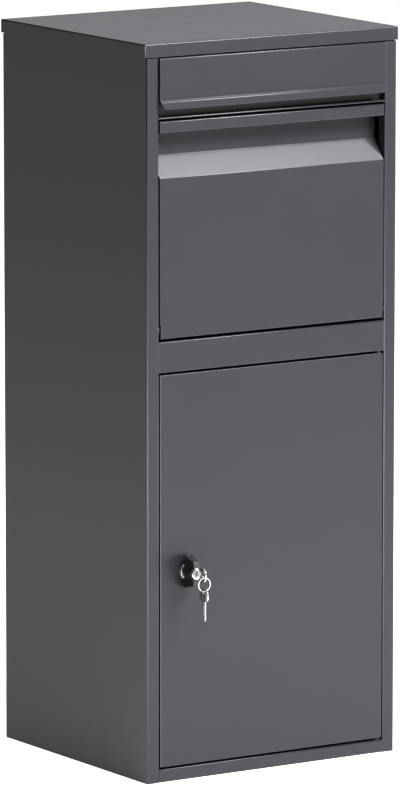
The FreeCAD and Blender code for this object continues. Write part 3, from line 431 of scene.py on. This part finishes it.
class FinishShop:
    """Makes each finish once and hands it out by slot."""

    def __init__(self) -> None:
        """List the finishes; none is made yet."""
        self.finishes = {
            Slot.CABINET: PowderCoat("powder_coat_cabinet"),
            Slot.DOOR: PowderCoat("powder_coat_door", cloud_size=0.13),
            # The hopper's folds get no painted highlight.
            Slot.HOPPER: PowderCoat("powder_coat_hopper", cloud_size=0.12, folds_highlighted=False),
            Slot.FLAP: PowderCoat("powder_coat_flap", cloud_size=0.10),
            Slot.ZINC: Plate(
                "zinc_plate", (0.60, 0.61, 0.62), (0.40, 0.41, 0.40), 0.34, wear=0.6
            ),
            Slot.NICKEL: Plate("bright_nickel", (0.62, 0.62, 0.61), (0.44, 0.43, 0.42), 0.26),
            Slot.SATIN: Plate("satin_nickel", (0.72, 0.72, 0.73), (0.60, 0.60, 0.60), 0.48),
            Slot.BLACK: Moulded("black_knob", (0.016, 0.016, 0.017), 0.26, specular=1.0),
            Slot.RUBBER: Moulded("black_rubber", (0.022, 0.022, 0.022), 0.75, specular=0.3),
            Slot.NYLON: Moulded("black_nylon", (0.030, 0.030, 0.032), 0.5),
        }
        self.made: dict[Slot, bpy.types.Material] = {}

    def get(self, slot: Slot) -> bpy.types.Material:
        """Hand out the material of a slot."""
        if slot not in self.made:
            self.made[slot] = self.finishes[slot].make()
        return self.made[slot]


# ---- mesh making --------------------------------------------------------
def piece_from(name: str, bm: bmesh.types.BMesh, smooth_angle: float = 35.0) -> bpy.types.Object:
    """Turn a bmesh into a linked object with clean normals.

    Args:
        name: the piece's name.
        bm: the mesh; it is freed.
        smooth_angle: edges flatter than this, in degrees, are shaded smooth.

    Returns:
        The new object.
    """
    bmesh.ops.recalc_face_normals(bm, faces=bm.faces)
    mesh = bpy.data.meshes.new(name)
    bm.to_mesh(mesh)
    bm.free()
    mesh.shade_smooth()
    mesh.set_sharp_from_angle(angle=math.radians(smooth_angle))
    piece = bpy.data.objects.new(name, mesh)
    bpy.context.scene.collection.objects.link(piece)
    return piece


def soften(piece: bpy.types.Object, width: float, segments: int = 2) -> None:
    """Round a piece's sharp edges with modifiers, leaving its mesh as it is.

    Args:
        piece: the object.
        width: the width of the rounding.
        segments: how many facets it has.
    """
    weld = piece.modifiers.new("weld", "WELD")
    weld.merge_threshold = 1e-6
    bevel = piece.modifiers.new("edges", "BEVEL")
    bevel.width = width
    bevel.segments = segments
    bevel.limit_method = "ANGLE"
    bevel.angle_limit = math.radians(40)
    bevel.harden_normals = True
    bevel.use_clamp_overlap = True


def cut_plate(
    name: str,
    outlines: Sequence[Sequence[Pair]],
    thickness: float,
    edge: float,
    where: Matrix,
) -> bpy.types.Object:
    """A flat plate with holes and rounded edges.

    Args:
        name: the piece's name.
        outlines: the outside outline first, then each hole.
        thickness: the plate's full thickness.
        edge: the radius of its rounded edges.
        where: places the outline's plane and normal in the frame.

    Returns:
        The plate as a mesh object.
    """
    curve = bpy.data.curves.new(name + "_outline", "CURVE")
    curve.dimensions = "2D"
    curve.fill_mode = "BOTH"
    curve.extrude = thickness / 2 - edge
    curve.bevel_depth = edge
    curve.bevel_resolution = 2
    curve.offset = -edge
    for outline in outlines:
        spline = curve.splines.new("POLY")
        spline.points.add(len(outline) - 1)
        for point, (u, v) in zip(spline.points, outline):
            point.co = (u, v, 0, 1)
        spline.use_cyclic_u = True
    carrier = bpy.data.objects.new(name + "_outline", curve)
    bpy.context.scene.collection.objects.link(carrier)
    graph = bpy.context.evaluated_depsgraph_get()
    mesh = bpy.data.meshes.new_from_object(carrier.evaluated_get(graph))
    bpy.data.objects.remove(carrier)
    bm = bmesh.new()
    bm.from_mesh(mesh)
    bpy.data.meshes.remove(mesh)
    bmesh.ops.remove_doubles(bm, verts=bm.verts, dist=1e-6)
    bm.transform(where)
    return piece_from(name, bm)


def rounded_outline(corners: Sequence[Pair], radius: float, steps: int = 6) -> list[Pair]:
    """Round every corner of a closed outline.

    Args:
        corners: the outline's corners in order.
        radius: the rounding's radius, limited by the shorter neighbour.
        steps: points in each rounded corner.

    Returns:
        The rounded outline.
    """
    points = []
    count = len(corners)
    for index in range(count):
        before, here, after = (Vector(corners[(index + k) % count]) for k in (-1, 0, 1))
        back, ahead = (before - here), (after - here)
        reach = min(radius, back.length * 0.45, ahead.length * 0.45)
        start = here + back.normalized() * reach
        end = here + ahead.normalized() * reach
        for step in range(steps + 1):
            t = step / steps
            spot = start * (1 - t) ** 2 + here * 2 * t * (1 - t) + end * t ** 2
            points.append((spot.x, spot.y))
    return points


def circle(centre: Pair, radius: float, steps: int = 28) -> list[Pair]:
    """Points round a circle."""
    return [
        (
            centre[0] + radius * math.cos(2 * math.pi * k / steps),
            centre[1] + radius * math.sin(2 * math.pi * k / steps),
        )
        for k in range(steps)
    ]


def loft(bm: bmesh.types.BMesh, sections: Sequence[Sequence[Vector]], closed: bool = False) -> None:
    """Join a row of equal sections into a skin.

    Args:
        bm: the mesh that gets the faces.
        sections: rings with the same number of points.
        closed: whether the last ring joins the first; otherwise both ends are capped.
    """
    rings = [[bm.verts.new(point) for point in section] for section in sections]
    count = len(rings[0])
    pairs = list(zip(rings, rings[1:]))
    if closed:
        pairs.append((rings[-1], rings[0]))
    for here, there in pairs:
        for k in range(count):
            after = (k + 1) % count
            bm.faces.new((here[k], here[after], there[after], there[k]))
    if not closed:
        bm.faces.new(rings[0])
        bm.faces.new(rings[-1])


@dataclass
class Assembly:
    """What every sub-assembly shares: its body and the finish shop."""

    shop: FinishShop
    body: str = "cabinet"
    made: list[str] = field(default_factory=list)

    def dress(self, node: str, slot: Slot, edge: float = 0.0) -> None:
        """Give a CAD node its finish.

        Args:
            node: the node's name.
            slot: the material slot whose finish it gets.
            edge: the width of its rounded edges, or 0 for none.
        """
        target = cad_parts[node]
        target.data.materials.clear()
        target.data.materials.append(self.shop.get(slot))
        if edge > 0:
            soften(target, edge)
        self.made.append(node)

    def fit(self, piece: bpy.types.Object, slot: Slot, *replaced: str) -> bpy.types.Object:
        """Finish a new piece and hang it on its body.

        Args:
            piece: the new piece, in place.
            slot: the material slot whose finish it gets.
            replaced: the CAD nodes that it stands for.

        Returns:
            The piece.
        """
        piece.data.materials.clear()
        piece.data.materials.append(self.shop.get(slot))
        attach(piece, self.body)
        if replaced:
            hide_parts(*replaced)
        self.made.append(piece.name)
        return piece

    def report(self) -> None:
        """Say what this sub-assembly made."""
        LOG.info("%s: %s", type(self).__name__, ", ".join(self.made))


# ---- sub-assemblies -----------------------------------------------------
@dataclass
class Cabinet(Assembly):
    """The welded body with its roof, rails and inner sheets."""

    sheet_edge: float = 0.35 * MM
    pad_edge: float = 0.4 * MM
    bush_edge: float = 0.2 * MM

    def build(self) -> None:
        """Dress the cabinet's sheets and its small inner parts."""
        sheets = (
            "side_panel_left", "side_panel_right", "back_panel", "floor_pan", "roof_cap",
            "mid_rail", "slot_header", "slot_sill", "letter_chute", "theft_baffle",
            "rest_brackets",
        )
        for node in sheets:
            self.dress(node, Slot.CABINET, self.sheet_edge)
        self.dress("flap_pads", Slot.RUBBER, self.pad_edge)
        self.dress("hopper_bushes", Slot.NYLON, self.bush_edge)
        self.dress("door_washers", Slot.NYLON, self.bush_edge)


@dataclass
class LetterFlap(Assembly):
    """The flap over the letter slot with its hinge rod."""

    body: str = "flap"
    sheet_edge: float = 0.35 * MM
    rod_edge: float = 0.3 * MM

    def build(self) -> None:
        """Dress the flap and its rod."""
        self.dress("letter_flap", Slot.FLAP, self.sheet_edge)
        self.dress("flap_rod", Slot.ZINC, self.rod_edge)


@dataclass
class ParcelHopper(Assembly):
    """The tilting hopper with its pins and buffers."""

    body: str = "hopper"
    sheet_edge: float = 0.35 * MM
    pin_edge: float = 0.3 * MM
    buffer_edge: float = 0.5 * MM

    def build(self) -> None:
        """Dress the hopper's sheets, pins and buffers."""
        for node in ("hopper_front", "hopper_floor", "hopper_cheek_left", "hopper_cheek_right"):
            self.dress(node, Slot.HOPPER, self.sheet_edge)
        self.dress("hopper_pins", Slot.ZINC, self.pin_edge)
        self.dress("stop_pins", Slot.ZINC, self.pin_edge)
        self.dress("stop_buffers", Slot.RUBBER, self.buffer_edge)


@dataclass
class CollectionDoor(Assembly):
    """The door leaf with its stiffener, hinge pins and lock housing."""

    body: str = "door"
    sheet_edge: float = 0.35 * MM
    fitting_edge: float = 0.3 * MM
    nut_edge: float = 0.4 * MM

    def build(self) -> None:
        """Dress the leaf, the stiffener, the pins and the lock's fixed pieces."""
        self.dress("door_panel", Slot.DOOR, self.sheet_edge)
        self.dress("door_stiffener", Slot.DOOR, self.fitting_edge)
        self.dress("door_pins", Slot.ZINC, self.fitting_edge)
        self.dress("lock_nut", Slot.ZINC, self.nut_edge)
        self.dress("lock_housing", Slot.SATIN, self.fitting_edge)


@dataclass
class WingLock(Assembly):
    """The wing knob with its cam."""

    body: str = "knob"
    knob_edge: float = 0.3 * MM
    cam_edge: float = 0.3 * MM
    screw_edge: float = 0.2 * MM

    def build(self) -> None:
        """Dress the knob, the cam and its screw."""
        self.dress("turn_knob", Slot.BLACK, self.knob_edge)
        self.dress("lock_cam", Slot.ZINC, self.cam_edge)
        self.dress("cam_screw", Slot.ZINC, self.screw_edge)


@dataclass
class LockPlug(Assembly):
    """The plug that the key turns, with its warded keyway."""

    body: str = "plug"
    edge: float = 0.7 * MM
    facets: int = 72
    keyway_half: float = 1.2 * MM
    keyway_height: float = 8.0 * MM
    ward_low: float = -1.0 * MM
    ward_high: float = -0.1 * MM
    ward_depth: float = 0.55 * MM

    def keyway(self) -> list[Pair]:
        """The keyway's outline, with a ward on each side."""
        half, tall = self.keyway_half, self.keyway_height / 2
        inner = half - self.ward_depth
        right = [
            (half, -tall),
            (half, self.ward_low),
            (inner, self.ward_low),
            (inner, self.ward_high),
            (half, self.ward_high),
            (half, tall),
        ]
        left = [(-x, z) for x, z in reversed(right)]
        return right + left

    def build(self) -> None:
        """Make the plug as a thick disc with the keyway through it."""
        low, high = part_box("lock_plug")
        middle = (low + high) / 2
        radius = (high.x - low.x) / 2
        where = Matrix.Translation(middle) @ FACING_FRONT
        plug = cut_plate(
            "plug_with_keyway",
            [circle((0.0, 0.0), radius, self.facets), self.keyway()],
            high.y - low.y,
            self.edge,
            where,
        )
        self.fit(plug, Slot.NICKEL, "lock_plug")


@dataclass(frozen=True)
class KeyBlank:
    """A flat key: its shoulder is at the origin, its bow at -Y and its blade at +Y."""

    thickness: float = 1.9 * MM
    blade_half: float = 3.0 * MM
    blade_length: float = 24.0 * MM
    tip: float = 1.7 * MM
    neck: float = 1.0 * MM
    cuts: Sequence[Pair] = (
        (8.0 * MM, 3.0 * MM),
        (10.3 * MM, 1.2 * MM),
        (10.7 * MM, 1.2 * MM),
        (13.0 * MM, 2.4 * MM),
        (15.3 * MM, 0.8 * MM),
        (15.7 * MM, 0.8 * MM),
        (18.0 * MM, 2.2 * MM),
        (24.0 * MM, 1.0 * MM),
    )
    groove_low: float = -1.25 * MM
    groove_high: float = 0.15 * MM
    groove_depth: float = 0.62 * MM
    groove_slant: float = 0.35
    chamfer: float = 0.16 * MM
    bow_height: float = 20.0 * MM
    bow_length: float = 18.5 * MM
    bow_shape: Sequence[Pair] = ((0.0, 0.20), (0.22, 0.5), (0.72, 0.5), (1.0, 0.22))
    bow_round: float = 3.2 * MM
    bow_edge: float = 0.55 * MM
    hole_radius: float = 2.6 * MM
    hole_facets: int = 40
    hole_inset: float = 5.0 * MM
    tip_top: float = -0.6 * MM

    def section(self, along: float, low: float, high: float) -> list[Vector]:
        """The blade's section at one place, milled on both sides.

        Args:
            along: how far past the shoulder it is.
            low: the height of the blade's lower edge there.
            high: the height of its upper edge there.

        Returns:
            The section's points in order.
        """
        half, cut = self.thickness / 2, self.chamfer
        groove_top = min(self.groove_high, high - 2 * cut)
        groove_foot = min(self.groove_low, groove_top - cut)
        slant = self.groove_depth * self.groove_slant
        right = [
            (half - cut, low),
            (half, low + cut),
            (half, groove_foot),
            (half - self.groove_depth, min(groove_foot + slant, groove_top)),
            (half - self.groove_depth, max(groove_top - slant, groove_foot)),
            (half, groove_top),
            (half, high - cut),
            (half - cut, high),
        ]
        left = [(-x, z) for x, z in reversed(right)]
        return [Vector((x, along, z)) for x, z in right + left]

    def blade(self, bm: bmesh.types.BMesh) -> None:
        """Mill the blade with its cuts."""
        stations = [(-self.neck, self.blade_half), (self.neck * 3, self.blade_half)]
        stations += list(self.cuts)
        sections = [self.section(along, -self.blade_half, high) for along, high in stations]
        end = self.blade_length + self.tip
        sections.append(self.section(end, -self.blade_half + self.tip, self.tip_top))
        loft(bm, sections)

    def make(self, name: str, hole_up: float, where: Matrix) -> bpy.types.Object:
        """Make the key.

        Args:
            name: the object's name.
            hole_up: how far the bow's hole lies above the blade's middle.
            where: places the key in the frame.

        Returns:
            The key as one object.
        """
        lower = [(-u * self.bow_length, -v * self.bow_height) for u, v in self.bow_shape]
        corners = lower + [(u, -v) for u, v in reversed(lower)]
        hole_middle = (self.hole_inset - self.bow_length, hole_up)
        hole = circle(hole_middle, self.hole_radius, self.hole_facets)
        bow = cut_plate(
            name,
            [rounded_outline(corners, self.bow_round), hole],
            self.thickness,
            self.bow_edge,
            FACING_SIDE,
        )
        bm = bmesh.new()
        bm.from_mesh(bow.data)
        bpy.data.objects.remove(bow)
        self.blade(bm)
        bm.transform(where)
        return piece_from(name, bm)


@dataclass(frozen=True)
class SplitRing:
    """A split ring of two flat turns that cross between the wire's ends."""

    radius: float = 9.25 * MM
    wire: float = 1.5 * MM
    turn_thickness: float = 0.74 * MM
    edge: float = 0.2 * MM
    crossing: float = 0.045
    crossing_at: float = 200.0
    steps: int = 150

    def offset(self, turn: float) -> float:
        """How far the wire lies from the ring's middle plane after some turns."""
        share = (turn - 1.0 + self.crossing) / (2 * self.crossing)
        share = min(1.0, max(0.0, share))
        smooth = share * share * (3 - 2 * share)
        return (smooth - 0.5) * self.turn_thickness

    def wire_section(self) -> list[Pair]:
        """The wire's section as (outwards, along the ring's axis) points."""
        tall, wide = self.wire / 2, self.turn_thickness / 2
        return rounded_outline(
            [(-tall, -wide), (tall, -wide), (tall, wide), (-tall, wide)], self.edge, steps=2
        )

    def make(self, name: str, centre: Vector) -> bpy.types.Object:
        """Wind the ring about a centre, in the plane of the door."""
        section = self.wire_section()
        first, last = self.crossing * 1.25, 2.0 - self.crossing * 1.25
        rings = []
        for step in range(self.steps + 1):
            turn = first + (last - first) * step / self.steps
            angle = math.radians(self.crossing_at) + 2 * math.pi * turn
            outwards = Vector((math.cos(angle), 0.0, math.sin(angle)))
            along = Vector((0.0, self.offset(turn), 0.0))
            rings.append([
                centre + outwards * (self.radius + out) + along + Vector((0.0, side, 0.0))
                for out, side in section
            ])
        bm = bmesh.new()
        loft(bm, rings)
        return piece_from(name, bm)


@dataclass
class KeySet(Assembly):
    """The key in the lock, the split ring and the spare key."""

    blank: KeyBlank = KeyBlank()
    ring: SplitRing = SplitRing()
    hole_drop: float = 2.2 * MM

    def build(self) -> None:
        """Make both keys and the ring where the CAD has them."""
        low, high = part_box("key")
        shoulder = (low + high) / 2
        shoulder.y = low.y + self.blank.bow_length
        key = self.blank.make("cut_key", -self.hole_drop, Matrix.Translation(shoulder))
        self.body = "key"
        self.fit(key, Slot.NICKEL, "key")

        low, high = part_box("key_ring")
        ring = self.ring.make("split_ring", (low + high) / 2)
        self.body = "ring"
        self.fit(ring, Slot.NICKEL, "key_ring")

        low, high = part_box("spare_key")
        middle = (low + high) / 2
        middle.z = high.z - self.blank.bow_length
        where = Matrix.Translation(middle) @ Matrix.Rotation(math.radians(-90), 4, "X")
        spare = self.blank.make("cut_spare_key", 0.0, where)
        self.body = "spare_key"
        self.fit(spare, Slot.NICKEL, "spare_key")


# ---- studio -------------------------------------------------------------
@dataclass(frozen=True)
class Softbox:
    """A rectangular studio light that faces the box."""

    name: str
    place: Point
    aim: Point
    size: Pair
    power: float
    colour: Colour = (1.0, 1.0, 1.0)

    def build(self) -> None:
        """Hang the light."""
        light = bpy.data.lights.new(self.name, "AREA")
        light.shape = "RECTANGLE"
        light.size, light.size_y = self.size
        light.energy = self.power
        light.color = self.colour
        lamp = bpy.data.objects.new(self.name, light)
        lamp.location = self.place
        lamp.rotation_mode = "QUATERNION"
        heading = Vector(self.aim) - Vector(self.place)
        lamp.rotation_quaternion = heading.to_track_quat("-Z", "Y")
        lamp.visible_camera = False
        bpy.context.scene.collection.objects.link(lamp)


@dataclass(frozen=True)
class Viewpoint:
    """The camera: where it stands and how it is turned."""

    place: Point = (-5.30507, -8.19970, 2.09848)
    yaw: float = 32.912
    pitch: float = -9.351
    lens: float = 331.26

    def build(self) -> None:
        """Set up the camera."""
        data = bpy.data.cameras.new("camera")
        data.lens = self.lens
        data.sensor_width = 36.0
        data.clip_end = 200.0
        camera = bpy.data.objects.new("camera", data)
        camera.location = self.place
        camera.rotation_euler = (math.radians(90 + self.pitch), 0, math.radians(-self.yaw))
        bpy.context.scene.collection.objects.link(camera)
        bpy.context.scene.camera = camera


@dataclass
class Studio:
    """A white floor, a white room and soft lights."""

    floor_half: float = 40.0
    room_light: float = 0.0
    floor_light: float = 1.0
    contrast: float = 0.7
    softboxes: Sequence[Softbox] = (
        Softbox("slant_light", (1.20, -2.00, 2.96), (0.0, 0.0, 0.8), (1.5, 0.9), 196.0),
        Softbox("front_top_light", (0.3, -2.8, 3.2), (0.0, 0.0, 0.6), (2.0, 1.6), 136.0),
        Softbox("front_light", (1.4, -3.7, 1.0), (0.0, 0.0, 0.5), (1.8, 1.4), 11.0),
        Softbox("over_light", (0.0, 0.0, 3.6), (0.0, 0.0, 0.5), (2.0, 2.0), 84.2),
        Softbox("back_light", (1.8, 3.2, 2.2), (0.0, 0.0, 0.9), (2.5, 1.6), 13.8),
    )

    def floor(self) -> None:
        """Lay the floor."""
        bm = bmesh.new()
        bmesh.ops.create_grid(bm, x_segments=8, y_segments=8, size=self.floor_half)
        floor = piece_from("studio_floor", bm)
        recipe = Recipe("white_floor")
        cloud = recipe.noise(0.8, detail=3.0)
        tone = recipe.blend(cloud, (0.79, 0.79, 0.79), (0.81, 0.81, 0.81))
        floor.data.materials.append(
            recipe.finish(
                Base_Color=tone,
                Roughness=0.9,
                Specular_IOR_Level=0.2,
                Emission_Color=(1.0, 1.0, 1.0),
                Emission_Strength=self.floor_light,
            )
        )

    def room(self) -> None:
        """Light the room evenly."""
        world = bpy.data.worlds.new("room")
        world.use_nodes = True
        world.node_tree.nodes["Background"].inputs["Color"].default_value = (1, 1, 1, 1)
        world.node_tree.nodes["Background"].inputs["Strength"].default_value = self.room_light
        bpy.context.scene.world = world

    def build(self) -> None:
        """Set up the floor, the room and every softbox."""
        self.floor()
        self.room()
        for softbox in self.softboxes:
            softbox.build()
        view = bpy.context.scene.view_settings
        view.view_transform = "Standard"
        view.look = "None"
        view.gamma = self.contrast


def corners(bounds: tuple[Vector, Vector]) -> list[list[float]]:
    """A pair of corners as plain lists."""
    return [list(corner) for corner in bounds]


def main() -> None:
    """Build every sub-assembly in order, then the studio."""
    logging.basicConfig(level=logging.INFO, format="%(name)s %(message)s")
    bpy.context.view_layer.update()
    shop = FinishShop()
    assemblies = (
        Cabinet(shop),
        LetterFlap(shop),
        ParcelHopper(shop),
        CollectionDoor(shop),
        WingLock(shop),
        LockPlug(shop),
        KeySet(shop),
    )
    for assembly in assemblies:
        assembly.build()
        assembly.report()
    Studio().build()
    Viewpoint().build()


if __name__ == "__main__":
    main()
